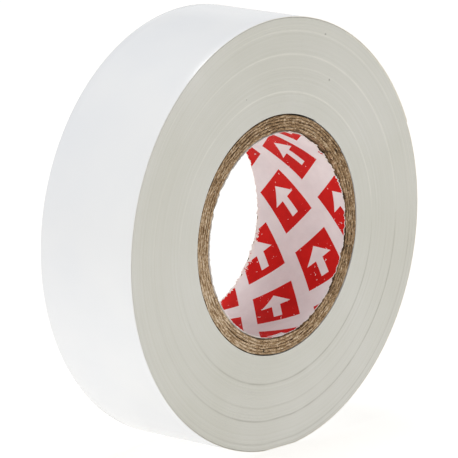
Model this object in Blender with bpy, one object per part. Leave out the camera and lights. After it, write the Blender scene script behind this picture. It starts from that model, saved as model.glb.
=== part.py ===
"""Roll of white vinyl electrical tape, standing on its rim.

From the middle out, as it would come apart on a bench: a thin paper liner, five plies of kraft
board, the wound tape, the outer turn of that tape, and the turn's free end, which lifts off the
roll in four hinged lengths. Every paper layer is a strip that was wound as a helix, edge to edge,
so each shows one slanting seam.

The roll's axis is Y, its front side faces -Y, and +Z is up. The origin is on the floor, under the
middle of the roll. Angles are seen from the front: zero at +X, turning towards +Z.
"""

from math import cos, dist, pi, radians, sin, sqrt

import bmesh
import bpy
from mathutils import Vector

TURN = 2 * pi
MM = 0.001

# The tape
TAPE_LENGTH = 20.0
TAPE_WIDTH = 19.0 * MM
TAPE_THICKNESS = 0.13 * MM
TURN_SLACK = 0.0025 * MM            # air and glue ridges that each turn adds to the roll
TURN_CLEARANCE = 0.05 * MM          # drawn between the outer turn and the turns under it

# Sideways shifts of the tape as it was wound, which leave shallow steps on both sides of the roll:
# the number of turns on the core when the tape moved, and how far it moved towards the front.
SIDE_SHIFTS = ((30, 0.04 * MM), (59, 0.015 * MM), (75, 0.04 * MM), (103, 0.025 * MM))
SHIFT_TURNS = 3                     # turns that one shift takes
STEP_OFFSET = 0.3 * MM              # how far off centre the steps lie, towards -X

# The core
CORE_BORE_DIAMETER = 32.7 * MM
LINER_THICKNESS = 0.25 * MM
PLY_THICKNESS = 0.40 * MM
PLY_COUNT = 5
GLUE_LINE = 0.1 * MM                # between one layer of the core and the next
CORE_CLEARANCE = 0.1 * MM           # between the core and the first turn of tape
STRIP_LEAD = 100.0 * MM             # length of core along which a paper strip goes round once
SEAM_GAP = 0.4 * MM                 # between the butted edges of a strip
SEAM_STAGGER = radians(137.5)       # from one layer's seam to the next
FIRST_SEAM_ANGLE = radians(69)
LINER_MARGIN = 0.3 * MM             # least width of board left bare beside the liner
LINER_TEAR = 1.1 * MM               # deepest bite out of the liner's torn edges

# The free end of the tape
END_ANGLE = radians(23.5)           # where the tape's cut edge lies on the rim
END_LENGTHS = 4
END_LENGTH = 6.0 * MM
END_GAP = 0.1 * MM                  # between one hinged length and the next
TAIL_GAP = 0.6 * MM                 # between the cut edge and the turn that passes under it

STANDING_FLAT_DEPTH = 0.2 * MM      # how far the rim is pressed flat where the roll stands

RIM_FACETS = 96
CORE_FACETS = 64
TEAR_FACETS = 128

TURN_PITCH = TAPE_THICKNESS + TURN_SLACK
LINER_RADIUS = CORE_BORE_DIAMETER / 2
CORE_RADIUS = LINER_RADIUS + LINER_THICKNESS + PLY_COUNT * (GLUE_LINE + PLY_THICKNESS)
WINDING_RADIUS = CORE_RADIUS + CORE_CLEARANCE
ROLL_RADIUS = sqrt(WINDING_RADIUS ** 2 + TAPE_LENGTH * TURN_PITCH / pi)
STRAIGHT_DOWN = END_ANGLE + (-pi / 2 - END_ANGLE) % TURN


def spiral_radius(angle):
    """Radius of the outer turn's surface, which shrinks by one turn's pitch from END_ANGLE on."""
    return ROLL_RADIUS - TURN_PITCH * (angle - END_ANGLE) / TURN


ROLL_HEIGHT = spiral_radius(STRAIGHT_DOWN) - STANDING_FLAT_DEPTH


def rim_radius(angle, depth):
    """Radius of the layer that lies this deep under the rim, flattened where the roll stands."""
    round_radius = spiral_radius(angle) - depth
    downward = cos(angle - STRAIGHT_DOWN)
    if downward <= 0:
        return round_radius
    return min(round_radius, (ROLL_HEIGHT - depth) / downward)


def on_roll(angle, radius, side):
    """Point at an angle and radius from the roll's axis, and at a distance along it."""
    return Vector((radius * cos(angle), side, ROLL_HEIGHT + radius * sin(angle)))


def facet_angles(first, last, facets):
    """The two limits, and between them the angles of evenly spaced facets.

    The even angles are the same for every layer, so that the facets of nested layers stay
    parallel. One facet is centred straight down. One that falls close to a limit is left out.
    """
    step = TURN / facets
    start = -pi / 2 + step / 2
    angles = [first]
    number = int((first - start) / step) - 1
    while start + number * step < last - step / 4:
        if start + number * step > first + step / 4:
            angles.append(start + number * step)
        number += 1
    angles.append(last)
    return angles


def solid_from_sections(name, sections, closed=False, pivot=Vector((0, 0, 0))):
    """Mesh skinned over cross-sections, each a loop of as many points as the others."""
    mesh = bmesh.new()
    rings = [[mesh.verts.new(point - pivot) for point in section] for section in sections]
    pairs = list(zip(rings, rings[1:]))
    if closed:
        pairs.append((rings[-1], rings[0]))
    else:
        mesh.faces.new(rings[0])
        mesh.faces.new(rings[-1])
    for ring, following in pairs:
        for corner in range(len(ring)):
            mesh.faces.new((ring[corner - 1], ring[corner], following[corner], following[corner - 1]))
    bmesh.ops.recalc_face_normals(mesh, faces=mesh.faces)
    data = bpy.data.meshes.new(name)
    mesh.to_mesh(data)
    mesh.free()
    data.shade_smooth()
    data.set_sharp_from_angle(angle=radians(30))
    return data


def add_piece(name, mesh, material, origin=Vector((0, 0, 0))):
    """Object for one piece, with its origin at the given point."""
    piece = bpy.data.objects.new(name, mesh)
    piece.location = origin
    mesh.materials.append(material)
    bpy.context.scene.collection.objects.link(piece)
    return piece


def linear(hex_colour):
    """Linear RGBA of an sRGB colour written as six hex digits."""
    channels = [int(hex_colour[start:start + 2], 16) / 255 for start in (0, 2, 4)]
    return [c / 12.92 if c <= 0.04045 else ((c + 0.055) / 1.055) ** 2.4 for c in channels] + [1.0]


def add_material(name, hex_colour, roughness):
    """Non-metal material of one colour."""
    material = bpy.data.materials.new(name)
    material.use_nodes = True
    shader = material.node_tree.nodes["Principled BSDF"]
    shader.inputs["Base Color"].default_value = linear(hex_colour)
    shader.inputs["Roughness"].default_value = roughness
    shader.inputs["Metallic"].default_value = 0.0
    material.diffuse_color = linear(hex_colour)
    return material


# Paper core: rolled strips with one slanting seam each

def strip_sections(inner, thickness, seam_angle, facets, edge):
    """Cross-sections of a paper strip rolled into a tube, from one end of its seam to the other.

    Unrolled, the strip is a parallelogram whose slanting ends are the two sides of the seam. The
    front and back limits at an angle are those of the cut core, drawn in by edge(angle), and
    those of the slanting ends.
    """
    lead_per_radian = STRIP_LEAD / TURN
    seam_gap_angle = SEAM_GAP / inner
    seam_turn = TAPE_WIDTH / lead_per_radian
    tip_turn = seam_gap_angle / 2
    last = seam_angle + seam_turn + TURN - seam_gap_angle
    corners = [seam_angle + tip_turn, seam_angle + seam_turn, last - seam_turn, last - tip_turn]
    angles = []
    for first_corner, next_corner in zip(corners, corners[1:]):
        angles += facet_angles(first_corner, next_corner, facets)[:-1]
    angles.append(corners[-1])
    sections = []
    for angle in angles:
        front = max(-TAPE_WIDTH / 2, -TAPE_WIDTH / 2 + (angle - last + seam_turn) * lead_per_radian)
        back = min(TAPE_WIDTH / 2, -TAPE_WIDTH / 2 + (angle - seam_angle) * lead_per_radian)
        bite = min(1.0, (back - front) / (TAPE_WIDTH / 4))
        front += bite * edge(angle)
        back -= bite * edge(angle + pi / 2)
        sections.append([
            on_roll(angle, inner, front),
            on_roll(angle, inner + thickness, front),
            on_roll(angle, inner + thickness, back),
            on_roll(angle, inner, back),
        ])
    return sections


def clean_edge(angle):
    """The plies are cut square with the core."""
    return 0.0


def torn_edge(angle):
    """How far the liner's edge lies inside the core's, waves of three sizes like torn paper."""
    waves = sin(2 * angle - 0.6) + 0.6 * sin(5 * angle + 1.0) + 0.4 * sin(23 * angle)
    return LINER_MARGIN + LINER_TEAR * max(0.0, waves) / 2


def add_liner(material):
    sections = strip_sections(LINER_RADIUS, LINER_THICKNESS, FIRST_SEAM_ANGLE, TEAR_FACETS, torn_edge)
    return add_piece("core_liner", solid_from_sections("core_liner", sections), material)


def add_ply(number, material):
    """One ply of kraft board, counted from the liner out."""
    name = f"core_ply_{number}"
    inner = LINER_RADIUS + LINER_THICKNESS + number * GLUE_LINE + (number - 1) * PLY_THICKNESS
    seam_angle = FIRST_SEAM_ANGLE + number * SEAM_STAGGER
    sections = strip_sections(inner, PLY_THICKNESS, seam_angle, CORE_FACETS, clean_edge)
    return add_piece(name, solid_from_sections(name, sections), material)


# Wound tape

def side_steps():
    """Start and end radius of each step on the roll's sides, with the tape's place after it.

    The tape's places are counted from the middle of their range, so that the roll's front and
    back stand equally far from the middle of the core.
    """
    room = ROLL_RADIUS - STANDING_FLAT_DEPTH - STEP_OFFSET - WINDING_RADIUS
    last_turns = room / TURN_PITCH - 2 * SHIFT_TURNS
    shifts = [(turns, distance) for turns, distance in SIDE_SHIFTS if turns < last_turns]
    place = sum(distance for turns, distance in shifts) / 2
    steps = []
    for turns, distance in shifts:
        radius = WINDING_RADIUS + turns * TURN_PITCH
        steps.append((radius, radius + SHIFT_TURNS * TURN_PITCH, place, place - distance))
        place -= distance
    return steps


SIDE_STEPS = side_steps()
OUTER_PLACE = SIDE_STEPS[-1][3] if SIDE_STEPS else 0.0
INNER_PLACE = SIDE_STEPS[0][2] if SIDE_STEPS else 0.0


def wound_section(angle, radius):
    """Cross-section of the wound tape: stepped on both sides, and this far out."""
    side = [(WINDING_RADIUS, INNER_PLACE)]
    for start, end, before, after in SIDE_STEPS:
        off_centre = STEP_OFFSET * cos(angle)
        side += [(start - off_centre, before), (end - off_centre, after)]
    side.append((radius, OUTER_PLACE))
    front = [on_roll(angle, distance, place - TAPE_WIDTH / 2) for distance, place in side]
    back = [on_roll(angle, distance, place + TAPE_WIDTH / 2) for distance, place in reversed(side)]
    return front + back


def add_wound_tape(material):
    """All turns but the last, one stepped ring whose rim is one turn of the spiral.

    Under the free end that spiral steps down by the thickness of a turn.
    """
    covered = TURN_PITCH + TURN_CLEARANCE
    step_turn = TAIL_GAP / 2 / ROLL_RADIUS
    sections = []
    for angle in facet_angles(END_ANGLE, END_ANGLE + TURN - step_turn, RIM_FACETS):
        sections.append(wound_section(angle, rim_radius(angle, covered)))
    mesh = solid_from_sections("wound_tape", sections, closed=True)
    return add_piece("wound_tape", mesh, material)


def tape_section(angle):
    """Cross-section of the outer turn at an angle."""
    inner = rim_radius(angle, TAPE_THICKNESS)
    outer = rim_radius(angle, 0.0)
    front = OUTER_PLACE - TAPE_WIDTH / 2
    back = OUTER_PLACE + TAPE_WIDTH / 2
    return [
        on_roll(angle, inner, front),
        on_roll(angle, outer, front),
        on_roll(angle, outer, back),
        on_roll(angle, inner, back),
    ]


def hinge_angle(number):
    """Angle of the hinge of one length of the free end, counted from the roll to the cut edge."""
    return END_ANGLE + (END_LENGTHS + 1 - number) * END_LENGTH / ROLL_RADIUS


def hinge_point(number):
    """Point on a hinge's axis, half way through the tape."""
    angle = hinge_angle(number)
    return on_roll(angle, rim_radius(angle, TAPE_THICKNESS / 2), OUTER_PLACE)


HALF_END_GAP_ANGLE = END_GAP / 2 / ROLL_RADIUS


def add_outer_turn(material):
    """The last whole turn, one unbroken strip from the first hinge round to the cut edge."""
    first = hinge_angle(1) + HALF_END_GAP_ANGLE
    last = END_ANGLE + TURN - TAIL_GAP / ROLL_RADIUS
    angles = facet_angles(first, last, RIM_FACETS)
    mesh = solid_from_sections("outer_turn", [tape_section(angle) for angle in angles])
    print_least_gap("outer turn", angles)
    print_least_gap("outer turn with its free end", facet_angles(END_ANGLE, last, RIM_FACETS))
    return add_piece("outer_turn", mesh, material)


def print_least_gap(words, angles):
    """Least gap between stretches of the tape that lie half a turn or more apart along it."""
    points = [on_roll(angle, rim_radius(angle, TAPE_THICKNESS / 2), 0.0) for angle in angles]
    apart = len(points) // 2
    middles = min(dist(near, far)
                  for place, near in enumerate(points)
                  for far in points[place + apart:])
    gap = middles - TAPE_THICKNESS
    print(f"{words}: least gap to itself {gap / MM:.2f} mm over {len(points)} points")


def add_tape_end(number, material, carrier):
    """One hinged length of the free end, with its origin on its hinge."""
    name = f"tape_end_{number}"
    last = hinge_angle(number) - HALF_END_GAP_ANGLE
    first = END_ANGLE
    if number < END_LENGTHS:
        first = hinge_angle(number + 1) + HALF_END_GAP_ANGLE
    sections = [tape_section(angle) for angle in facet_angles(first, last, RIM_FACETS)]
    pivot = hinge_point(number)
    mesh = solid_from_sections(name, sections, pivot=pivot)
    if carrier is None:
        return add_piece(name, mesh, material, pivot)
    piece = add_piece(name, mesh, material, pivot - hinge_point(number - 1))
    piece.parent = carrier
    return piece


def build():
    for old in list(bpy.data.objects):
        bpy.data.objects.remove(old)
    printed_paper = add_material("printed_liner_paper", "E3CFCB", 0.6)
    kraft_board = add_material("kraft_board", "A28767", 0.9)
    slit_vinyl = add_material("slit_vinyl_edges", "CAC7BF", 0.5)
    vinyl = add_material("white_vinyl_tape", "EEEEEF", 0.25)
    add_liner(printed_paper)
    for number in range(1, PLY_COUNT + 1):
        add_ply(number, kraft_board)
    add_wound_tape(slit_vinyl)
    add_outer_turn(vinyl)
    carrier = None
    for number in range(1, END_LENGTHS + 1):
        carrier = add_tape_end(number, vinyl, carrier)
    print(f"roll: {2 * ROLL_RADIUS / MM:.2f} mm across, centre {ROLL_HEIGHT / MM:.3f} mm up")
    print(f"roll: about {(ROLL_RADIUS - WINDING_RADIUS) / TURN_PITCH:.0f} turns of tape")


build()
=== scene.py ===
# %% [markdown]
# # A roll of white vinyl electrical tape
#
# The object is a strip of glossy white film, 20 m long and 19 mm wide, wound on a small paperboard
# tube. Seen from its side it is mostly *edges*: more than a hundred slit edges of film, one inside
# the next, with the torn paper and the brown board of the core in the middle.
#
# This lesson dresses an engineering model of the roll, piece by piece from the outside in. Every
# length is in metres, the roll's axis is Y, its front side faces -Y, and it stands on z = 0.

# %% Load the engineering model
from functools import partial
from math import atan2, cos, pi, radians, sin, sqrt

import bmesh
import bpy
from mathutils import Matrix, Vector, noise


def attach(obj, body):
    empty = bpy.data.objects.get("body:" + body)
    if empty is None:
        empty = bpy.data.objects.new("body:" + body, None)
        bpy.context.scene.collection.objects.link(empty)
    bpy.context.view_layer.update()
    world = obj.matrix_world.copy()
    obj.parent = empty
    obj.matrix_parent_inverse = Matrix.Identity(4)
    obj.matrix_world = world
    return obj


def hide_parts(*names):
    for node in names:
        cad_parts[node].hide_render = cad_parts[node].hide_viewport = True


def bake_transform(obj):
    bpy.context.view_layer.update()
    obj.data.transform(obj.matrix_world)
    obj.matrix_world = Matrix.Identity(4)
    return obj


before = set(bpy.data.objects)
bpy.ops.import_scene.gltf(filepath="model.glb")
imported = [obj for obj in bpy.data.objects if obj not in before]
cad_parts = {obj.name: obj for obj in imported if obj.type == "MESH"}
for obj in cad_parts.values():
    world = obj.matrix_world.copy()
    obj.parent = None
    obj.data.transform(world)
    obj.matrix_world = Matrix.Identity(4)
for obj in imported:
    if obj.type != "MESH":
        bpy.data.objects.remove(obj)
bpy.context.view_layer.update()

# %% [markdown]
# ## The roll's sizes
#
# Tape is simple to describe: how long it is, how wide, how thick, and how big the tube in its
# middle is. The outer radius is not a free choice. The strip's side area, length times thickness,
# has to fill the ring between the core and the rim, and that gives the radius.

# %% Sizes of the roll
MM = 0.001
TURN = 2 * pi

TAPE_LENGTH = 20.0
TAPE_WIDTH = 19.0 * MM
TAPE_THICKNESS = 0.13 * MM
TURN_PITCH = 0.1325 * MM             # the film's thickness and a little trapped air
TURN_CLEARANCE = 0.05 * MM           # between the outer turn and the turns under it
WINDING_RADIUS = 19.2 * MM
END_ANGLE = radians(23.5)            # where the tape's cut edge lies, from +X towards +Z
RIM_FACETS = 96                      # of the engineering model, whose rim is a polygon
STANDING_FLAT_DEPTH = 0.2 * MM

ROLL_RADIUS = sqrt(WINDING_RADIUS ** 2 + TAPE_LENGTH * TURN_PITCH / pi)
STRAIGHT_DOWN = TURN - pi / 2
ROLL_HEIGHT = ROLL_RADIUS - TURN_PITCH * (STRAIGHT_DOWN - END_ANGLE) / TURN - STANDING_FLAT_DEPTH

# The smooth rim is drawn just inside the polygon's corners, level with the middles of its sides.
RIM_RADIUS = ROLL_RADIUS * cos(pi / RIM_FACETS) - 0.01 * MM
print(f"roll: {2 * ROLL_RADIUS / MM:.2f} mm across, axis {ROLL_HEIGHT / MM:.2f} mm up")

# %% [markdown]
# ## The camera
#
# The roll is seen from its front left, from a little above. A long lens far away gives the flat,
# catalogue-like perspective: the two rims have almost the same size. `Vector` maths builds the
# camera's three axes from the two viewing angles, and the matrix puts the camera there.

# %% Place the camera


def new_object(name, data):
    """Object with this data, linked to the scene."""
    made = bpy.data.objects.new(name, data)
    bpy.context.scene.collection.objects.link(made)
    return made


VIEW_AZIMUTH = radians(-48.75)
VIEW_ELEVATION = radians(11.7)
VIEW_DISTANCE = 21.771 * ROLL_RADIUS
VIEW_ASIDE = 0.0216 * ROLL_RADIUS    # how far the roll's centre is from the middle of the picture
VIEW_ABOVE = 0.0078 * ROLL_RADIUS
LENS_MM = 374.3
SENSOR_MM = 36.0
NEAREST_SEEN = 0.01                  # these two limits hold the roll and all of the floor
FARTHEST_SEEN = 50.0


def add_camera():
    towards_camera = Vector((
        sin(VIEW_AZIMUTH) * cos(VIEW_ELEVATION),
        -cos(VIEW_AZIMUTH) * cos(VIEW_ELEVATION),
        sin(VIEW_ELEVATION),
    ))
    right = Vector((cos(VIEW_AZIMUTH), sin(VIEW_AZIMUTH), 0))
    up = towards_camera.cross(right)
    place = towards_camera * VIEW_DISTANCE - right * VIEW_ASIDE - up * VIEW_ABOVE
    place.z += ROLL_HEIGHT
    data = bpy.data.cameras.new("catalogue_camera")
    data.lens = LENS_MM
    data.sensor_width = SENSOR_MM
    data.sensor_fit = "HORIZONTAL"
    data.clip_start = NEAREST_SEEN
    data.clip_end = FARTHEST_SEEN
    camera = new_object("catalogue_camera", data)
    axes = Matrix((right, up, towards_camera)).transposed()
    camera.matrix_world = Matrix.Translation(place) @ axes.to_4x4()
    bpy.context.scene.camera = camera
    return camera


print("camera at", [round(x, 3) for x in add_camera().matrix_world.translation])

# %% [markdown]
# ## Colours and shader nodes
#
# Colours are written as the hex codes that a paint program shows. Blender's shaders work in
# linear light, so one function converts them. A second small function adds any node, makes its
# settings and joins its inputs, so that each material below reads like a list. `partial` fills in
# the tree that it adds to, and the short name `node` then adds to the material at hand.

# %% Helpers for colours and nodes
MATH = "ShaderNodeMath"              # the kinds of node that are used most
MIX = "ShaderNodeMix"
NOISE = "ShaderNodeTexNoise"
RAMP = "ShaderNodeValToRGB"
RANGE = "ShaderNodeMapRange"
SMOOTH = {"interpolation_type": "SMOOTHSTEP"}    # a range that starts and ends gently


def linear(hex_colour):
    """Linear RGBA of an sRGB colour written as six hex digits."""
    channels = [int(hex_colour[start:start + 2], 16) / 255 for start in (0, 2, 4)]
    return [c / 12.92 if c <= 0.04045 else ((c + 0.055) / 1.055) ** 2.4 for c in channels] + [1.0]


def add_node(tree, kind, *values, stops=(), **named):
    """New node of a kind, with its settings and links.

    The values fill its inputs in order. A name in small letters is a setting of the node, and one
    with a capital is an input, with _ for a space. A node or a socket is joined to the input, and
    anything else is set there. The stops of a colour ramp are positions with hex colours.
    """
    added = tree.nodes.new(kind)
    for name, value in named.items():
        if name[0].islower():
            setattr(added, name, value)
    inputs = list(zip([socket for socket in added.inputs if socket.enabled], values))
    for name, value in named.items():
        if name[0].isupper():
            inputs.append((added.inputs[name.replace("_", " ")], value))
    for socket, value in inputs:
        if isinstance(value, bpy.types.Node):
            value = next(output for output in value.outputs if output.enabled)
        if isinstance(value, bpy.types.NodeSocket):
            tree.links.new(value, socket)
        else:
            socket.default_value = value
    for place, (position, hex_colour) in enumerate(stops):
        if place > 1:
            added.color_ramp.elements.new(1.0)
        element = added.color_ramp.elements[place]
        element.position, element.color = position, linear(hex_colour)
    return added


def emptied(owner):
    """The material or world without its nodes, and add_node with its tree filled in."""
    owner.use_nodes = True
    owner.node_tree.nodes.clear()
    return owner, partial(add_node, owner.node_tree)


print("white is", linear("FFFFFF"), "and middle grey", [round(part, 2) for part in linear("808080")])

# %% [markdown]
# ## White vinyl film
#
# The film is plasticised PVC, rolled to thickness between polished calender rolls. That gives a
# smooth, glossy, slightly soft-looking white with a very fine orange-peel grain, and faint lines
# along the strip from the slitting machine. Its reflections are clear but not mirror-sharp.
#
# The pattern follows the strip, so the material reads the piece's own UV map, where U is the
# length along the strip and V the place across it, both in metres.

# %% Material: calendered white vinyl film


def calendered_vinyl():
    material, node = emptied(bpy.data.materials.new("calendered_white_vinyl"))
    strip = node("ShaderNodeUVMap", uv_map="rolled_out")
    position = node("ShaderNodeTexCoord").outputs["Object"]
    cloud = node(NOISE, position, Scale=60, Detail=2)
    white = node(RAMP, cloud, stops=((0.3, "EAECEF"), (0.7, "EFF0F1")))
    # lines along the strip: long in U (100 mm), narrow in V (0.4 mm)
    drawn_out = node("ShaderNodeMapping", strip, Scale=(10, 2500, 1))
    lines = node(NOISE, drawn_out, Scale=1, Detail=2)
    # orange peel of about 0.5 mm, coarser than the real one so that it shows
    peel = node(NOISE, strip, Scale=2000, Detail=2)
    # smears of handling, 8 mm round the roll and 16 mm across it
    wiped = node("ShaderNodeMapping", position, Scale=(120, 60, 120))
    smear = node(NOISE, wiped, Scale=1, Detail=4)
    gloss = node(MATH, smear, 0.14, 0.17, operation="MULTIPLY_ADD")
    height = node(MATH, lines, 0.5, peel, operation="MULTIPLY_ADD")
    relief = node("ShaderNodeBump", Height=height, Distance=0.0015 * MM)
    shader = node("ShaderNodeBsdfPrincipled", white, Roughness=gloss, Normal=relief, IOR=1.53)
    node("ShaderNodeOutputMaterial", shader)
    return material


VINYL = calendered_vinyl()
print("material:", VINYL.name)

# %% [markdown]
# ## Adhesive
#
# The inner side of the tape carries a thin coat of rubber adhesive. On white film it looks a
# little warmer than the film itself, and it glistens unevenly, because the coat was pulled off
# the turn below it.

# %% Material: rubber adhesive coat


def adhesive_coat():
    material, node = emptied(bpy.data.materials.new("rubber_adhesive_on_vinyl"))
    strip = node("ShaderNodeUVMap", uv_map="rolled_out")
    # patches 2 mm across, where the coat was pulled thin or thick
    patches = node(NOISE, strip, Scale=500, Detail=4)
    cream = node(RAMP, patches, stops=((0.3, "DCD8CC"), (0.7, "E8E5DC")))
    gloss = node(MATH, patches, 0.4, 0.12, operation="MULTIPLY_ADD")
    relief = node("ShaderNodeBump", Height=patches, Distance=0.02 * MM)
    shader = node("ShaderNodeBsdfPrincipled", cream, Roughness=gloss, Normal=relief, IOR=1.5)
    node("ShaderNodeOutputMaterial", shader)
    return material


ADHESIVE = adhesive_coat()
print("material:", ADHESIVE.name)

# %% [markdown]
# ## Slit edges
#
# A razor slitter cuts the film into strips, and the wound edges make a satin, greyish face. It is
# darker and warmer than the film's surface, because light sinks in between the turns. Each turn
# has its own faint tone, a little dust sticks to the adhesive at the edges, and the knife leaves
# a fine tooth.
#
# Where the strip moved sideways as it was wound, it left a ledge. Light and shade are painted on
# the ledges: lighter in the upper half of the roll, where they face down, and darker below.
#
# The wound strip carries two attributes, a count of its turns and the place of its ledges, so
# these tones can follow the strip all the way round.

# %% Material: slit vinyl edges


def slit_edges(name, dark, pale, own_turns):
    """Satin film edges; with own_turns, turn tones and painted light and shade on the ledges."""
    material, node = emptied(bpy.data.materials.new(name))
    position = node("ShaderNodeTexCoord").outputs["Object"]
    tone = node(NOISE, position, Scale=45, Detail=3)
    if own_turns:
        turn = node("ShaderNodeAttribute", attribute_name="turn").outputs["Fac"]
        fine = node(NOISE, turn, noise_dimensions="1D", Scale=0.35, Detail=2, Roughness=0.6)
        large = node(MATH, tone, 0.7, operation="MULTIPLY")
        tone = node(MATH, fine, 0.3, large, operation="MULTIPLY_ADD")
    colour = node(RAMP, tone, stops=((0.3, dark), (0.7, pale)))
    if own_turns:
        ledge = node("ShaderNodeAttribute", attribute_name="ledge").outputs["Fac"]
        place = node("ShaderNodeSeparateXYZ", position).outputs
        low, high = ROLL_HEIGHT - 10 * MM, ROLL_HEIGHT + 6 * MM
        faces_down = node(RANGE, place["Z"], low, high, **SMOOTH)
        # the painted light and shade of the ledges fades out towards the left side
        left, right = -26 * MM, -4 * MM
        painted_ledge_reach = node(RANGE, place["X"], left, right, 0.3, 1.0, **SMOOTH)
        # painted light on the ledges in the upper half, and painted shade on those in the lower half
        painted_ledge_light_and_shade = node(RAMP, faces_down, stops=((0.0, "A29D90"), (1.0, "F2EFE6")))
        spots = node(NOISE, position, Scale=220, Detail=2)
        patchy = node(MATH, spots, 1.1, operation="MULTIPLY")
        full = node(MATH, ledge, 1.0, operation="MINIMUM")
        share = node(MATH, full, patchy, operation="MULTIPLY")
        share = node(MATH, share, painted_ledge_reach, operation="MULTIPLY")
        colour = node(MIX, share, colour, painted_ledge_light_and_shade, data_type="RGBA")
    # dust specks 0.15 to 0.3 mm across, one in every few hundred cells of the pattern
    dust = node("ShaderNodeTexVoronoi", position, feature="F1", Scale=900)
    chosen = node("ShaderNodeSeparateColor", dust.outputs["Color"])
    rare = node(MATH, chosen, 0.006, operation="LESS_THAN")
    near = node(MATH, dust.outputs["Distance"], 0.16, operation="LESS_THAN")
    speck = node(MATH, rare, near, operation="MULTIPLY")
    speck = node(MATH, speck, 0.55, operation="MULTIPLY")
    dusty = node(MIX, speck, colour, linear("6E6558"), data_type="RGBA")
    tooth = node(NOISE, position, Scale=4000, Detail=2)
    relief = node("ShaderNodeBump", Height=tooth, Distance=0.01 * MM)
    shader = node("ShaderNodeBsdfPrincipled", dusty, Roughness=0.5, Normal=relief, IOR=1.53)
    node("ShaderNodeOutputMaterial", shader)
    return material


WOUND_EDGES = slit_edges("slit_vinyl_wound_edges", "D3D2C6", "E1E0D9", True)
# the outer turn's slit edges are painted pale: a painted highlight along the rim's edges
OUTER_EDGE_HIGHLIGHT = slit_edges("slit_vinyl_outer_edge_painted_highlight", "F0EBDC", "F8F4E8", False)
print("materials:", WOUND_EDGES.name, OUTER_EDGE_HIGHLIGHT.name)

# %% [markdown]
# ## The wound strip
#
# The side of the roll could be a flat disc with a bump map of rings. But the real face *is* a
# spiral of film, and its rings are places where the strip wandered sideways while it was wound.
# So the strip itself is modelled: a grid, one row of cells for each side of the film, is rolled
# up by Geometry Nodes. Change the core or the pitch, and the spiral follows.
#
# 1. A **Grid** as long as the number of turns, four cells round the film's section.
# 2. **Set Position** puts each point at its turn's angle and radius, and shifts it sideways.
# 3. **Merge by Distance** closes the section, and **Set Material** finishes it.

# %% Sizes of the wound strip
WOUND_TURNS = 115
TURN_COLUMNS = 128                   # columns of the mesh in each turn
STRIP_END_ANGLE = radians(62)        # where the strip goes over into the outer turn
DRAWN_THICKNESS = 0.96 * TURN_PITCH  # leaves a hairline between the turns
DRAWN_WIDTH = TAPE_WIDTH - 0.03 * MM
WANDER = 0.008 * MM                  # how far turns stray sideways

# Sideways shifts of the whole strip: turns on the core, and distance towards the front.
SIDE_SHIFTS = ((30, 0.040 * MM), (59, 0.015 * MM), (75, 0.040 * MM), (103, 0.025 * MM))
INNER_PLACE = sum(distance for turns, distance in SIDE_SHIFTS) / 2
OUTER_PLACE = -INNER_PLACE


def surface_radius(angle):
    """Radius of the tape's outer surface. The angle is counted along the strip from its cut edge,
    past a full turn where need be, and each turn lies one pitch deeper."""
    return RIM_RADIUS - TURN_PITCH * (angle - END_ANGLE) / TURN


strip_end_radius = surface_radius(STRIP_END_ANGLE + TURN) - TURN_CLEARANCE
STRIP_START_RADIUS = strip_end_radius - DRAWN_THICKNESS - WOUND_TURNS * TURN_PITCH
print(f"strip: from {STRIP_START_RADIUS / MM:.2f} to {strip_end_radius / MM:.2f} mm")

# %% Node tree: its named inputs


def add_winding_inputs(tree):
    """Inputs for the strip's sizes and materials, and a dictionary of the sizes."""
    numbers = (
        ("Turns", "NodeSocketInt", WOUND_TURNS),
        ("Columns a Turn", "NodeSocketInt", TURN_COLUMNS),
        ("Start Radius", "NodeSocketFloat", STRIP_START_RADIUS),
        ("End Angle", "NodeSocketFloat", STRIP_END_ANGLE),
        ("Pitch", "NodeSocketFloat", TURN_PITCH),
        ("Thickness", "NodeSocketFloat", DRAWN_THICKNESS),
        ("Width", "NodeSocketFloat", DRAWN_WIDTH),
        ("Wander", "NodeSocketFloat", WANDER),
        ("Wander Seed", "NodeSocketFloat", 7.0),
        ("Inner Place", "NodeSocketFloat", INNER_PLACE),
        ("Axis Height", "NodeSocketFloat", ROLL_HEIGHT),
        ("Press Depth", "NodeSocketFloat", STANDING_FLAT_DEPTH),
        ("Core Radius", "NodeSocketFloat", WINDING_RADIUS),
    )
    for name, kind, value in numbers:
        tree.interface.new_socket(name, in_out="INPUT", socket_type=kind)
    for name in ("Edges", "Film"):
        tree.interface.new_socket(name, in_out="INPUT", socket_type="NodeSocketMaterial")
    return {name: value for name, kind, value in numbers}


winding = bpy.data.node_groups.new("wind_strip", "GeometryNodeTree")
winding_values = add_winding_inputs(winding)
print("inputs:", ", ".join(winding_values))

# %% Node tree: pressed flat where the roll stands


def pressed_radius(node, given, radius, upward):
    """Radius of a point once the rim is pressed flat, for which every turn gives a little."""
    core = given["Core Radius"]
    downward = node(MATH, upward, -1.0, operation="MULTIPLY")
    downward = node(MATH, downward, 0.5, operation="MAXIMUM")
    reach = node(MATH, given["Axis Height"], downward, operation="DIVIDE")
    reach = node(MATH, reach, core, operation="SUBTRACT")
    full = node(MATH, given["Axis Height"], given["Press Depth"], operation="ADD")
    full = node(MATH, full, core, operation="SUBTRACT")
    share = node(MATH, reach, full, operation="DIVIDE")
    share = node(MATH, share, 1.0, operation="MINIMUM")
    over_core = node(MATH, radius, core, operation="SUBTRACT")
    return node(MATH, over_core, share, core, operation="MULTIPLY_ADD")


print(f"the rim gives {STANDING_FLAT_DEPTH / MM:.1f} mm where the roll stands")

# %% Node tree: sideways shifts and ledges
SHIFT_WIDTH = 2.6 * TURN_PITCH       # turns that one shift takes, as a height
STEP_OFFSET = 0.55 * MM              # the steps' centre lies this far off the axis,
STEP_OFFSET_ANGLE = radians(240)     # in this direction
# Single turns that stand out by a few hundredths of a millimetre: turns on the core, and distance.
PROUD_TURNS = ((40, 0.010 * MM), (67, 0.006 * MM), (109, 0.014 * MM))
FULL_LEDGE = 0.045 * MM              # the ledge that shows at full strength


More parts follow.
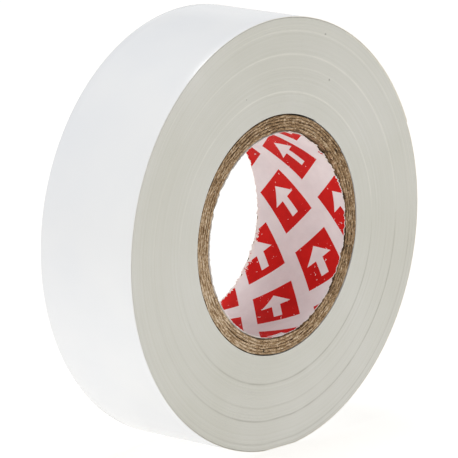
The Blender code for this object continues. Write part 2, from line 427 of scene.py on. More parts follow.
def shifted_side(node, side, angle, radius):
    """Place to the side after the strip's shifts and proud turns, and how much of a ledge shows."""
    ledge = 0.0
    from_offset = node(MATH, angle, STEP_OFFSET_ANGLE, operation="SUBTRACT")
    from_offset = node(MATH, from_offset, operation="COSINE")
    centred = node(MATH, from_offset, -STEP_OFFSET, radius, operation="MULTIPLY_ADD")
    shifts = [(*shift, True) for shift in SIDE_SHIFTS] + [(*proud, False) for proud in PROUD_TURNS]
    for turns, distance, stays in shifts:
        start = WINDING_RADIUS + turns * TURN_PITCH
        moved = node(RANGE, centred, start, start + SHIFT_WIDTH, **SMOOTH)
        unmoved = node(MATH, 1.0, moved, operation="SUBTRACT")
        # 1/4 half way through the shift, and 0 before and after it
        on_step = node(MATH, moved, unmoved, operation="MULTIPLY")
        ledge = node(MATH, on_step, 4 * distance / FULL_LEDGE, ledge, operation="MULTIPLY_ADD")
        if stays:
            side = node(MATH, moved, -distance, side, operation="MULTIPLY_ADD")
        else:
            side = node(MATH, on_step, -4 * distance, side, operation="MULTIPLY_ADD")
    return side, ledge


def strayed_side(node, given, side, turn, outer):
    """Place to the side with the wander of single turns."""
    counted = node(MATH, outer, DRAWN_THICKNESS / TURN_PITCH, turn, operation="MULTIPLY_ADD")
    place = node(MATH, counted, 0.4, given["Wander Seed"], operation="MULTIPLY_ADD")
    stray = node(NOISE, place, noise_dimensions="1D", Scale=1, Detail=3, Roughness=0.6)
    stray = node(MATH, stray, 0.5, operation="SUBTRACT")
    return node(MATH, stray, given["Wander"], side, operation="MULTIPLY_ADD")


print(len(SIDE_SHIFTS), "shifts of the strip, and", len(PROUD_TURNS), "turns that stand out")

# %% Node tree: roll up the strip


def fill_winding_tree(tree):
    """Nodes that wind a strip of film."""
    node = partial(add_node, tree)
    given = node("NodeGroupInput").outputs

    # the flat strip: X counts its turns, and Y goes round the four corners of its section, from
    # -2 to 2: inner front, outer front, outer back, inner back, and inner front once more
    points = node(MATH, given["Turns"], given["Columns a Turn"], 1.0, operation="MULTIPLY_ADD")
    grid = node("GeometryNodeMeshGrid", given["Turns"], 4.0, points, 5)
    flat = node("ShaderNodeSeparateXYZ", node("GeometryNodeInputPosition")).outputs
    turn = node(MATH, given["Turns"], 0.5, flat["X"], operation="MULTIPLY_ADD")
    outer = node(MATH, flat["Y"], -0.5, 0.75, operation="COMPARE")
    back = node(MATH, flat["Y"], 0.5, 0.75, operation="COMPARE")

    # radius and angle of the corner
    bottom = node(MATH, turn, given["Pitch"], given["Start Radius"], operation="MULTIPLY_ADD")
    radius = node(MATH, outer, given["Thickness"], bottom, operation="MULTIPLY_ADD")
    left = node(MATH, given["Turns"], turn, operation="SUBTRACT")
    angle = node(MATH, left, TURN, given["End Angle"], operation="MULTIPLY_ADD")
    across = node(MATH, angle, operation="COSINE")
    upward = node(MATH, angle, operation="SINE")

    # radius and place to the side, with the film's width last
    pressed = pressed_radius(node, given, radius, upward)
    side, ledge = shifted_side(node, given["Inner Place"], angle, radius)
    side = strayed_side(node, given, side, turn, outer)
    half = node(MATH, back, 0.5, operation="SUBTRACT")
    side = node(MATH, half, given["Width"], side, operation="MULTIPLY_ADD")

    # keep the turn's number and the ledges for the material, and roll up the grid
    keep = {"data_type": "FLOAT", "domain": "POINT"}
    kind = "GeometryNodeStoreNamedAttribute"
    kept = node(kind, Geometry=grid, Name="turn", Value=turn, **keep)
    kept = node(kind, Geometry=kept, Name="ledge", Value=ledge, **keep)
    aside = node(MATH, pressed, across, operation="MULTIPLY")
    rise = node(MATH, pressed, upward, given["Axis Height"], operation="MULTIPLY_ADD")
    point = node("ShaderNodeCombineXYZ", aside, side, rise)
    rolled = node("GeometryNodeSetPosition", kept, Position=point)
    closed = node("GeometryNodeMergeByDistance", rolled, Distance=0.001 * MM)
    shaded = node("GeometryNodeSetShadeSmooth", closed, Shade_Smooth=False)
    real = node("GeometryNodeRealizeInstances", shaded)

    # film on the strip's two surfaces, and slit edges on its sides
    normal = node("GeometryNodeInputNormal")
    facing = node("ShaderNodeSeparateXYZ", normal).outputs["Y"]
    sideways = node(MATH, facing, operation="ABSOLUTE")
    is_edge = node(MATH, sideways, 0.5, operation="GREATER_THAN")
    filmed = node("GeometryNodeSetMaterial", real, Material=given["Film"])
    edged = node("GeometryNodeSetMaterial", filmed, is_edge, given["Edges"])
    tree.interface.new_socket("Geometry", in_out="OUTPUT", socket_type="NodeSocketGeometry")
    node("NodeGroupOutput", edged)


fill_winding_tree(winding)
print("winding tree:", len(winding.nodes), "nodes")

# %% [markdown]
# A modifier runs the tree on an object. Its inputs are set by their identifiers before the object
# is first evaluated, and the result is kept as a plain mesh, which any program can read. The
# object and its modifier are no longer needed then.

# %% Make the strip's mesh


def node_mesh(name, tree, values):
    """Plain mesh of what a Geometry Nodes tree makes with these input values."""
    holder = new_object(name + "_nodes", bpy.data.meshes.new(name + "_nodes"))
    modifier = holder.modifiers.new(name, "NODES")
    modifier.node_group = tree
    for item in tree.interface.items_tree:
        if item.item_type == "SOCKET" and item.in_out == "INPUT" and item.name in values:
            modifier[item.identifier] = values[item.name]
    depsgraph = bpy.context.evaluated_depsgraph_get()
    data = bpy.data.meshes.new_from_object(holder.evaluated_get(depsgraph), depsgraph=depsgraph)
    data.name = name
    bpy.data.objects.remove(holder)
    for place in reversed(range(len(data.materials))):
        if data.materials[place] is None:
            data.materials.pop(index=place)
    return data


winding_values.update(Edges=WOUND_EDGES, Film=VINYL)
wound_mesh = node_mesh("wound_strip", winding, winding_values)
print("wound strip:", len(wound_mesh.vertices), "points", [m.name for m in wound_mesh.materials])

# %% [markdown]
# The rolled grid is open at the strip's two cut ends. `bmesh` fills those two small holes and
# turns every face outwards, which a closed body needs for a 3D print or a physics program. The
# helper below does that for every piece, and reports the volume: a positive one means that the
# faces point the right way.

# %% Close the mesh and add the object


def add_piece(name, data, body, slot, *replaced):
    """Object at the origin for a finished mesh, riding on a body in place of its plain nodes."""
    mesh = bmesh.new()
    mesh.from_mesh(data)
    open_edges = [edge for edge in mesh.edges if edge.is_boundary]
    if open_edges:
        bmesh.ops.holes_fill(mesh, edges=open_edges, sides=0)
    if mesh.calc_volume(signed=True) < 0:
        bmesh.ops.reverse_faces(mesh, faces=mesh.faces)
    volume = mesh.calc_volume(signed=True)
    loose = sum(not edge.is_manifold for edge in mesh.edges)
    mesh.to_mesh(data)
    mesh.free()
    piece = new_object(name, data)
    if body is not None:
        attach(piece, body)
    if replaced:
        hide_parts(*replaced)
    triangles = sum(len(face.vertices) - 2 for face in data.polygons)
    print(f"{name}: {triangles} triangles, {volume * 1e9:.1f} cubic mm, {loose} open edges")
    return piece


add_piece("wound_strip", wound_mesh, "roll", "slit_vinyl", "wound_tape")

# %% [markdown]
# ## A skin of sections
#
# The other pieces are strips too, but each has a shape of its own along its length. One function
# skins a row of cross-sections, as a boat builder planks over frames. Each point brings its place
# on the unrolled strip, which becomes the UV map that the materials read.

# %% Skin a row of sections


def skinned(name, sections, unrolled, materials, finish=None, attribute=None):
    """Closed mesh over cross-sections, each a loop of as many points as the others.

    unrolled holds each point's place on the flat strip. finish(corner) gives the material number
    of the cells between a corner of the section and the next. attribute is a name and values.
    """
    mesh = bmesh.new()
    layer = mesh.loops.layers.uv.new("rolled_out")
    values = mesh.verts.layers.float.new(attribute[0]) if attribute else None
    rings = []
    flat = {}
    for row, section in enumerate(sections):
        ring = [mesh.verts.new(point) for point in section]
        for corner, vertex in enumerate(ring):
            flat[vertex] = unrolled[row][corner]
            if attribute:
                vertex[values] = attribute[1][row][corner]
        rings.append(ring)
    for ring, following in zip(rings, rings[1:]):
        for corner in range(len(ring)):
            after = (corner + 1) % len(ring)
            face = mesh.faces.new((ring[corner], ring[after], following[after], following[corner]))
            face.smooth = True
            if finish:
                face.material_index = finish(corner)
    for ring in (rings[0], rings[-1]):
        face = mesh.faces.new(ring)
        if finish:
            face.material_index = finish(-1)
    for face in mesh.faces:
        for loop in face.loops:
            loop[layer].uv = flat[loop.vert]
    data = bpy.data.meshes.new(name)
    mesh.to_mesh(data)
    mesh.free()
    for material in materials:
        data.materials.append(material)
    data.set_sharp_from_angle(angle=radians(40))
    return data


print("skinned() ready")

# %% [markdown]
# ## The outer turn
#
# The last turn is the one people see: glossy film round the rim, with a slit edge on each side.
# It is skinned from film sections with rounded corners. Real film never lies perfectly flat on
# the turns below it, so its surface gets waves a few thousandths of a millimetre high, which bend
# the reflections just enough.

# %% Outline of the film's section
FILM_ROWS = 12                       # cells across the film's width
CORNER = 0.055 * MM                  # rounding of the slit edges, where the knife raised a burr


def film_profile():
    """Corners of the film's section: (depth under the surface, place across, finish)."""
    half = TAPE_WIDTH / 2
    slope = CORNER * (1 - cos(pi / 4))
    profile = [(TAPE_THICKNESS, half - CORNER), (TAPE_THICKNESS, -half + CORNER)]
    profile += [(TAPE_THICKNESS - CORNER, -half), (CORNER, -half), (slope, -half + slope)]
    for row in range(FILM_ROWS + 1):
        profile.append((0.0, (-half + CORNER) + row * (2 * half - 2 * CORNER) / FILM_ROWS))
    profile += [(slope, half - slope), (CORNER, half), (TAPE_THICKNESS - CORNER, half)]
    return profile


def film_finish(corner):
    """0 is the film's surface, 1 its slit edge, painted pale as a highlight, 2 the adhesive."""
    if corner == 0:
        return 2
    if corner in (1, 2, 3) or corner >= len(FILM_PROFILE) - 3 or corner < 0:
        return 1
    return 0


FILM_PROFILE = film_profile()
print("corners of the film's section:", len(FILM_PROFILE))

# %% Sections of the film round the roll
RIM_WAVES = 0.006 * MM               # height of the waves, which are 9 mm long and 2 mm wide


def on_roll(angle, radius, side):
    """Point at an angle and radius from the roll's axis, and at a distance along it."""
    return Vector((radius * cos(angle), side, ROLL_HEIGHT + radius * sin(angle)))


def pressed_share(angle):
    """How much of its depth over the core the roll keeps at an angle: less than 1 where the rim is
    pressed flat by standing on it."""
    downward = -sin(angle)
    if downward <= 0.5:
        return 1.0
    full = ROLL_HEIGHT + STANDING_FLAT_DEPTH - WINDING_RADIUS
    return min(1.0, (ROLL_HEIGHT / downward - WINDING_RADIUS) / full)


def film_section(angle, deeper=0.0):
    """Section of the film at an angle along the strip, and its places on the flat strip."""
    section = []
    flat = []
    share = pressed_share(angle)
    over_core = surface_radius(angle) - deeper - WINDING_RADIUS
    for depth, side in FILM_PROFILE:
        wave = noise.noise(Vector((cos(angle), sin(angle), side / (9 * MM))) * 4.0)
        radius = WINDING_RADIUS + over_core * share - depth
        radius += RIM_WAVES * (wave - 1) * (1.0 if depth < CORNER else 0.0)
        section.append(on_roll(angle, radius, OUTER_PLACE + side))
        flat.append((angle * ROLL_RADIUS, side))
    return section, flat


def film_strip(name, first, last, columns, deeper=lambda angle: 0.0):
    """Mesh of the film between two angles along the strip."""
    sections = []
    unrolled = []
    for column in range(columns + 1):
        angle = first + (last - first) * column / columns
        section, flat = film_section(angle, deeper(angle))
        sections.append(section)
        unrolled.append(flat)
    return skinned(name, sections, unrolled, (VINYL, OUTER_EDGE_HIGHLIGHT, ADHESIVE), film_finish)


print("lowest share of its depth that the rim keeps:", round(pressed_share(-pi / 2), 4))

# %% [markdown]
# Under its own free end, the outer turn dips by the thickness of one turn of film. The dip is a
# short ramp just past the cut edge, as thin film bridges a step.

# %% The outer turn
END_LENGTH = 6.0 * MM                # one hinged length of the free end
HINGE_ANGLES = [END_ANGLE + (4 - number) * END_LENGTH / ROLL_RADIUS for number in range(5)]
HALF_LENGTH_ANGLE = END_LENGTH / 2 / ROLL_RADIUS
FREE_ROOT_ANGLE = HINGE_ANGLES[0] + 1.5 * HALF_LENGTH_ANGLE
RAMP_START = END_ANGLE + TURN - radians(4)
OUTER_COLUMNS = 480


def tucked_depth(angle):
    """Extra depth of the film where it passes under the free end."""
    way = min(1.0, max(0.0, (angle - RAMP_START) / (END_ANGLE + TURN - RAMP_START)))
    return TURN_CLEARANCE * way * way * (3 - 2 * way)


outer_angles = (FREE_ROOT_ANGLE, STRIP_END_ANGLE + TURN)
outer_mesh = film_strip("outer_film", *outer_angles, OUTER_COLUMNS, tucked_depth)
add_piece("outer_film", outer_mesh, "roll", "vinyl_film", "outer_turn")

# %% [markdown]
# ## The free end
#
# A thumbnail lifts the end of the tape, and it peels off the rim in a curl. The engineering
# model has four hinges there. The film is made of pieces that each reach from the middle of one
# hinged length to the middle of the next. The last half length, with the cut edge, rides on the
# last body.

# %% The free end, in pieces between its hinges
LENGTH_COLUMNS = 18                  # columns of the mesh in each piece


def add_free_end():
    first = FREE_ROOT_ANGLE
    for number in range(1, 5):
        last = HINGE_ANGLES[number] + HALF_LENGTH_ANGLE
        name = f"free_end_{number}"
        data = film_strip(name, first, last, LENGTH_COLUMNS)
        piece = add_piece(name, data, None, "vinyl_film", f"tape_end_{number}")
        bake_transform(piece)
        first = last
    data = film_strip("free_end_tip", first, END_ANGLE, LENGTH_COLUMNS // 2)
    add_piece("free_end_tip", data, "tape_end_4", "vinyl_film", "tape_end_4")


add_free_end()

# %% [markdown]
# ## Kraft board
#
# The core is wound from strips of brown kraft board, glued edge to edge. Its cut ends show the
# plies as streaks of torn fibre, pale where fibres stand up and dark in the gaps between them.
# The fibres lie along the strip, so the pattern is stretched along U, the way round the core.

# %% Material: kraft board
PAINTED_LIGHT_WAY = (-0.82, 0.0, -0.57)    # from the axis towards the lower left, where light is painted on the core's end


def kraft_board():
    material, node = emptied(bpy.data.materials.new("cut_kraft_board"))
    strip = node("ShaderNodeUVMap", uv_map="rolled_out")
    # fibres 0.43 mm long and 0.16 mm across, coarser than pulp so that they show
    in_fibres = node("ShaderNodeMapping", strip, Scale=(2300, 6200, 1))
    fibres = node(NOISE, in_fibres, Scale=1, Detail=3, Roughness=0.75)
    # tufts 1.5 mm long and 0.28 mm across, where bundles of fibre were torn out
    in_tufts = node("ShaderNodeMapping", strip, Scale=(650, 3600, 1))
    tufts = node(NOISE, in_tufts, Scale=1, Detail=3, Roughness=0.6)
    tone = node(MATH, fibres, 0.55, operation="MULTIPLY")
    tone = node(MATH, tufts, 0.45, tone, operation="MULTIPLY_ADD")
    # zones 6 mm across where the saw left the board rougher and darker, or smeared it pale
    position = node("ShaderNodeTexCoord").outputs["Object"]
    zones = node(NOISE, position, Scale=160, Detail=2)
    zones = node(MATH, zones, 0.38, operation="SUBTRACT")
    tone = node(MATH, zones, 0.16, tone, operation="MULTIPLY_ADD")
    # painted light: the core's end is lighter towards the lower left, and a little darker opposite
    to_left = node("ShaderNodeVectorMath", position, PAINTED_LIGHT_WAY, operation="DOT_PRODUCT")
    middle = PAINTED_LIGHT_WAY[2] * ROLL_HEIGHT
    painted_light = node(RANGE, to_left, middle, middle + 18 * MM, -0.008, 0.034)
    tone = node(MATH, tone, painted_light, operation="ADD")
    # the glue lines between the plies are dark, in stretches 3 mm long
    glue = node("ShaderNodeAttribute", attribute_name="glue").outputs["Fac"]
    stretches = node(NOISE, position, Scale=330, Detail=4)
    stretches = node(RANGE, stretches, 0.4, 0.62, 0.01, 0.14)
    dark = node(MATH, glue, stretches, operation="MULTIPLY")
    tone = node(MATH, tone, dark, operation="SUBTRACT")
    stops = ((0.39, "382817"), (0.46, "826546"), (0.53, "AD8D66"), (0.61, "E4CFB3"))
    brown = node(RAMP, tone, stops=stops)
    relief = node("ShaderNodeBump", Height=tone, Distance=0.12 * MM)
    shader = node("ShaderNodeBsdfPrincipled", brown, Roughness=0.88, Normal=relief, IOR=1.45)
    node("ShaderNodeOutputMaterial", shader)
    return material


KRAFT = kraft_board()
print("material:", KRAFT.name)

# %% [markdown]
# ## The plies of the core
#
# Each ply is a strip rolled into a tube as a helix, so unrolled it is a parallelogram, and its
# slanting ends meet in one seam. The saw leaves the cut ends ragged: fibres stand out, edges are
# rounded down, and in places two plies have come apart. All of that is shaped into the mesh.

# %% Sizes of the core
LINER_RADIUS = 16.35 * MM
LINER_THICKNESS = 0.25 * MM
PLY_THICKNESS = 0.40 * MM
PLY_COUNT = 5
GLUE_LINE = 0.1 * MM
STRIP_LEAD = 100.0 * MM              # length of core along which a strip goes round once
core_wall = LINER_THICKNESS + PLY_COUNT * (GLUE_LINE + PLY_THICKNESS)
print(f"core: {LINER_RADIUS / MM:.2f} to {(LINER_RADIUS + core_wall) / MM:.2f} mm")

# %% Where a rolled strip starts and ends


def limits(angle, seam_angle, gap_angle):
    """Front and back limit of a rolled strip at an angle."""
    lead = STRIP_LEAD / TURN
    seam_turn = TAPE_WIDTH / lead
    last = seam_angle + seam_turn + TURN - gap_angle
    front = max(0.0, (angle - last + seam_turn) * lead) - TAPE_WIDTH / 2
    back = min(TAPE_WIDTH, (angle - seam_angle) * lead) - TAPE_WIDTH / 2
    return front, back


def strip_angles(seam_angle, gap_angle, columns):
    """Angles of the sections of a rolled strip, from one tip of its parallelogram to the other."""
    tip = gap_angle / 2
    seam_turn = TAPE_WIDTH * TURN / STRIP_LEAD
    first = seam_angle + tip
    last = seam_angle + seam_turn + TURN - 3 * tip
    count = round((last - first) / TURN * columns)
    return [first + (last - first) * place / count for place in range(count + 1)]


print("front limit of a strip opposite its seam, in mm:", limits(pi, 0.0, 0.0)[0] / MM)

# %% Torn and split ends of the board
RAGGED = 0.22 * MM                   # height of the fibres on the cut ends
SPLIT_ANGLE = radians(-125)          # where the second and third ply have come apart
SPLIT_SPREAD = radians(11)
SPLIT_WIDTH = 0.13 * MM


def fibre_height(angle, radius):
    """How far fibres stand out of a cut end, from -1 to 1: streaks 1.1 mm long, tufts 0.3 mm."""
    round_place = Vector((cos(angle), sin(angle), 0))
    streak = noise.noise(round_place * 16 + Vector((0, 0, radius / (0.2 * MM))))
    tuft = noise.noise(round_place * 55 + Vector((9, 0, radius / (0.12 * MM))))
    return 0.55 * streak + 0.45 * tuft


def split_open(number, angle):
    """How far the faces of two plies have parted at an angle: below zero for the inner ply."""
    way = (angle - SPLIT_ANGLE + pi) % TURN - pi
    opening = SPLIT_WIDTH * max(0.0, 1 - (way / SPLIT_SPREAD) ** 2)
    return {2: -opening, 3: opening}.get(number, 0.0)


print("widest split in mm:", 2 * split_open(3, SPLIT_ANGLE) / MM)

# %% Section of a ply
DRAWN_PLY = PLY_THICKNESS + 0.07 * MM    # with most of the glue line, but not on the outermost ply
PLY_DEPTHS = (0.0, 0.12, 0.37, 0.63, 0.88, 1.0)              # shares of the ply's thickness
WALL_STEPS = (0.04, 0.35, 0.65, 0.96)                         # shares of its width
CREASE = 0.26 * MM                   # how deep the edges of the cut end are rounded down at most


def ply_section(number, angle, seam_angle, inner, gap_angle):
    """Section of a ply: ragged front end, outer wall, ragged back end, inner wall."""
    front, back = limits(angle, seam_angle, gap_angle)
    room = min(1.0, (back - front) / (4 * MM))
    thickness = DRAWN_PLY if number < PLY_COUNT else PLY_THICKNESS
    section = []
    flat = []
    glue = []

    def place(depth, side, end):
        radius = inner + depth * thickness
        # one field of small shifts for all plies, 4 and 1.6 mm long, so that they stay snug
        spot = Vector((cos(angle), sin(angle), radius / (2 * MM)))
        wobble = 0.07 * MM * noise.noise(spot * 4) + 0.03 * MM * noise.noise(spot * 11)
        parted = split_open(number, angle) if end == "front" else 0.0
        if (parted > 0 and depth < 0.5) or (parted < 0 and depth > 0.5):
            wobble += parted
        section.append(on_roll(angle, radius + wobble, side))
        flat.append((angle * inner, side + depth * PLY_THICKNESS + number * 0.01))
        glue.append(0.4 if end == "wall" else (2 * depth - 1) ** 8)

    def end_side(depth, sign):
        radius = inner + depth * thickness
        # each glue line has its own creases, 6 mm long
        line = round(radius / DRAWN_PLY) + 9 * sign
        crease = noise.noise(Vector((3 * cos(angle), 3 * sin(angle), line)))
        rounded = CREASE * max(0.0, 0.3 + crease) * (2 * depth - 1) ** 6
        height = RAGGED * (0.5 + 0.5 * fibre_height(angle + sign, radius))
        return room * (rounded + height)

    for depth in PLY_DEPTHS:
        place(depth, front + end_side(depth, 0), "front")
    for step in WALL_STEPS:
        place(1.0, front + (back - front) * step, "wall")
    for depth in reversed(PLY_DEPTHS):
        place(depth, back - end_side(depth, 1), "back")
    for step in reversed(WALL_STEPS):
        place(0.0, front + (back - front) * step, "wall")
    return section, flat, glue


print("points in a ply's section:", 2 * (len(PLY_DEPTHS) + len(WALL_STEPS)))

# %% The five plies
SEAM_STAGGER = radians(137.5)
FIRST_SEAM_ANGLE = radians(69)
PLY_COLUMNS = 520                    # columns in one turn
OPEN_SEAM_GAP = 0.4 * MM             # of the outermost ply, whose seam has opened
CLOSED_SEAM_GAP = 0.06 * MM          # of the other plies


def add_ply(number):
    inner = LINER_RADIUS + LINER_THICKNESS + number * GLUE_LINE + (number - 1) * PLY_THICKNESS
    seam_angle = FIRST_SEAM_ANGLE + number * SEAM_STAGGER
    gap_angle = (OPEN_SEAM_GAP if number == PLY_COUNT else CLOSED_SEAM_GAP) / inner
    angles = strip_angles(seam_angle, gap_angle, PLY_COLUMNS)
    rows = [ply_section(number, angle, seam_angle, inner, gap_angle) for angle in angles]
    sections, unrolled, glue = zip(*rows)
    data = skinned(f"board_ply_{number}", sections, unrolled, (KRAFT,), attribute=("glue", glue))
    return add_piece(f"board_ply_{number}", data, "roll", "kraft_board", f"core_ply_{number}")


for ply_number in range(1, PLY_COUNT + 1):
    add_ply(ply_number)

# %% [markdown]
# ## Printed liner paper
#
# Inside the core sits a thin white paper, printed in red. The print here is a plain pattern of
# blocks with an arrow, in rows that follow the paper strip round the core. Where the paper was
# torn it shows its white, fluffy middle instead of the print.
#
# The print is worked out from the UV map: a Mapping node turns the map to the strip's slant, the
# fractional part of a coordinate divides it into cells, and comparisons draw a block and an arrow
# inside each cell.

# %% Cells of the print
ROW_PITCH = 9.4 * MM                 # from one row of blocks to the next, across the strip
BLOCK_PITCH = 12.2 * MM              # from one block to the next along a row
ROW_STAGGER = 0.35                   # how far each row is moved along, in blocks


def printed_cells(node, strip):
    """Place in its cell of the print, from the cell's middle: along a row and across it."""
    # the rows of blocks follow the strip, which goes round the core as a helix
    slant = -atan2(STRIP_LEAD, TURN * LINER_RADIUS)
    flat = node("ShaderNodeMapping", strip, Rotation=(0, 0, slant))
    flat = node("ShaderNodeSeparateXYZ", flat).outputs
    row = node(MATH, flat["Y"], ROW_PITCH, operation="DIVIDE")
    row_number = node(MATH, row, operation="FLOOR")
    column = node(MATH, flat["X"], BLOCK_PITCH, operation="DIVIDE")
    column = node(MATH, row_number, ROW_STAGGER, column, operation="MULTIPLY_ADD")
    places = []
    for counted, pitch in ((column, BLOCK_PITCH), (row, ROW_PITCH)):
        share = node(MATH, counted, operation="FRACT")
        share = node(MATH, share, 0.5, operation="SUBTRACT")
        places.append(node(MATH, share, pitch, operation="MULTIPLY"))
    return places


print(f"print: a block every {BLOCK_PITCH / MM:.1f} mm, in rows {ROW_PITCH / MM:.1f} mm apart")

# %% A block with an arrow
BLOCK_LENGTH = 8.4 * MM
BLOCK_WIDTH = 7.0 * MM
SHAFT = (-0.9 * MM, 3.8 * MM, 1.4 * MM)    # of the arrow: middle from the block's, length, width
HEAD_START = 0.3 * MM                # of the arrow, from the block's middle
HEAD_WIDTH = 5.6 * MM                # what its two sides would be apart at the block's middle
HEAD_SLOPE = 0.95


def block_with_arrow(node, u, v):
    """1 on a printed block, and 0 round it and on the arrow inside it."""
    aside = node(MATH, v, operation="ABSOLUTE")
    bars = []
    for middle, length, width in ((0.0, BLOCK_LENGTH, BLOCK_WIDTH), SHAFT):
        along = node(MATH, u, middle, length / 2, operation="COMPARE")
        within = node(MATH, aside, width / 2, operation="LESS_THAN")
        bars.append(node(MATH, along, within, operation="MULTIPLY"))
    block, shaft = bars
    # the head narrows from its barbs to its tip
    slope = node(MATH, u, -HEAD_SLOPE, HEAD_WIDTH / 2, operation="MULTIPLY_ADD")
    head = node(MATH, aside, slope, operation="LESS_THAN")
    in_head = node(MATH, u, HEAD_START, operation="GREATER_THAN")
    head = node(MATH, head, in_head, operation="MULTIPLY")
    arrow = node(MATH, shaft, head, operation="MAXIMUM")
    arrow = node(MATH, arrow, block, operation="MINIMUM")
    return node(MATH, block, arrow, operation="SUBTRACT")


print(f"block: {BLOCK_LENGTH / MM:.1f} x {BLOCK_WIDTH / MM:.1f} mm")

# %% Material: printed liner paper


def printed_paper():
    material, node = emptied(bpy.data.materials.new("printed_liner_paper"))
    strip = node("ShaderNodeUVMap", uv_map="rolled_out")
    position = node("ShaderNodeTexCoord").outputs["Object"]
    block = block_with_arrow(node, *printed_cells(node, strip))
    # worn ink: small misses, and nothing on the torn edge
    spots = node(NOISE, position, Scale=1500, Detail=3, Roughness=0.6)
    inked_spots = node(MATH, spots, 0.31, operation="GREATER_THAN")
    torn = node("ShaderNodeAttribute", attribute_name="from_edge").outputs["Fac"]
    fluff = node(NOISE, position, Scale=2500, Detail=3, Roughness=0.7)
    fluff = node(MATH, fluff, 1.2, -0.35, operation="MULTIPLY_ADD")
    whole = node(MATH, torn, fluff, operation="GREATER_THAN")
    ink = node(MATH, block, inked_spots, operation="MULTIPLY")
    ink = node(MATH, ink, whole, operation="MULTIPLY")
    tone = node(NOISE, position, Scale=250, Detail=5, Roughness=0.6)
    paper = node(RAMP, tone, stops=((0.3, "E9E4E5"), (0.7, "F5F1F1")))
    red = node(RAMP, tone, stops=((0.3, "C41411"), (0.7, "DC1F1A")))
    printed = node(MIX, ink, paper, red, data_type="RGBA")
    colour = node(MIX, whole, linear("F4EFEA"), printed, data_type="RGBA")
    fibre = node(NOISE, position, Scale=3000, Detail=3)
    relief = node("ShaderNodeBump", Height=fibre, Distance=0.03 * MM)
    shader = node(
        "ShaderNodeBsdfPrincipled", colour, Roughness=0.6, IOR=1.48,
        Specular_IOR_Level=0.12, Normal=relief,
    )
    node("ShaderNodeOutputMaterial", shader)
    return material


PRINTED_PAPER = printed_paper()
print("material:", PRINTED_PAPER.name)

# %% [markdown]
# ## The liner
#
# The paper was cut with the core, and its edges tore. Tearing makes waves of several sizes:
# long bites, short notches and a fringe of single fibres. Adding noise of three sizes gives the
# same look, and the torn paper also thins out and lifts a little at its edge.

# %% How the liner tore
LINER_TEAR = 1.1 * MM                # depth of the hardest bite


def bitten(angle, side):
    """How hard the paper was torn, from 0 to 1, at the front (-1) or the back (1).

    Two waves round the core make a long bite and a short one, which lie elsewhere at the back.
    """
    turned = angle + (0.55 if side < 0 else 2.0)
    return max(0.0, sin(turned - 0.3) + 0.5 * sin(3 * turned - 2.6) - 0.5)


def tear_depth(angle, side):
    """How far the torn edge lies inside the core's end."""
    torn = bitten(angle, side)
    spot = Vector((cos(angle), sin(angle), side))
    # notches 1.2 and 0.4 mm long, and a fringe of 0.15 mm
    notches = 0.30 * noise.noise(spot * 14) + 0.22 * noise.noise(spot * 38)
    fringe = 0.16 * noise.noise(spot * 110)
    ragged = (0.8 + 1.2 * torn) * (notches + fringe) * MM
    if side > 0:
        return 0.08 * MM + 0.35 * LINER_TEAR * torn + ragged
    return 0.12 * MM + LINER_TEAR * torn + ragged


deepest = max(tear_depth(radians(angle), -1) for angle in range(360))
print(f"deepest tear at the front: {deepest / MM:.2f} mm")

# %% Section of the liner
PAPER_THICKNESS = 0.13 * MM
LINER_GAP_ANGLE = CLOSED_SEAM_GAP / LINER_RADIUS
LINER_ROWS = (0.0, 0.15, 0.35, 0.6, 1.0, 1.6, 2.4, 3.4)      # mm from a torn edge
LINER_MIDDLE = (0.3, 0.4, 0.5, 0.6, 0.7)                      # shares of the width


def liner_section(angle):
    """Section of the liner at an angle: its inner side, and its outer side on the way back."""
    front, back = limits(angle, FIRST_SEAM_ANGLE, LINER_GAP_ANGLE)
    room = min(1.0, (back - front) / (4 * MM))
    front += room * max(0.05 * MM, tear_depth(angle, -1))
    back -= room * max(0.05 * MM, tear_depth(angle, 1))
    width = max(back - front, 0.02 * MM)
    reach = [min(step * MM, width * 0.24) for step in LINER_ROWS]
    sides = [front + step for step in reach] + [front + width * step for step in LINER_MIDDLE]
    sides += [back - step for step in reversed(reach)]
    section = []
    flat = []
    near_edge = []
    for layer, order in (("inner", sides), ("outer", sides[::-1])):
        for side in order:
            spot = Vector((cos(angle), sin(angle), side / LINER_RADIUS))
            from_edge = min(side - front, back - side) / MM
            wave = 0.05 * MM * noise.noise(spot * 5) + 0.02 * MM * noise.noise(spot * 18)
            lift = 0.12 * MM * max(0.0, 1 - from_edge / 0.6) * (0.6 + noise.noise(spot * 24))
            feather = 1 - 0.75 * max(0.0, 1 - from_edge / 0.4)
            surface = LINER_RADIUS + 0.10 * MM + wave - lift
            radius = surface if layer == "inner" else surface + PAPER_THICKNESS * feather
            section.append(on_roll(angle, min(radius, LINER_RADIUS + 0.3 * MM), side))
            flat.append((angle * LINER_RADIUS, side))
            # the print is gone further in where the tear is deep, and there is none outside
            bared = 0.5 + 2.2 * bitten(angle, -1 if side < 0 else 1)
            near_edge.append(from_edge / bared if layer == "inner" else -1.0)
    return section, flat, near_edge


print("points in the liner's section:", len(liner_section(0.0)[0]))

# %% The liner
LINER_COLUMNS = 1000                 # columns in one turn


def add_liner():
    angles = strip_angles(FIRST_SEAM_ANGLE, LINER_GAP_ANGLE, LINER_COLUMNS)
    rows = [liner_section(angle) for angle in angles]
    sections, unrolled, near_edge = zip(*rows)
    attribute = ("from_edge", near_edge)
    data = skinned("printed_liner", sections, unrolled, (PRINTED_PAPER,), attribute=attribute)
    return add_piece("printed_liner", data, "roll", "liner_paper", "core_liner")


add_liner()

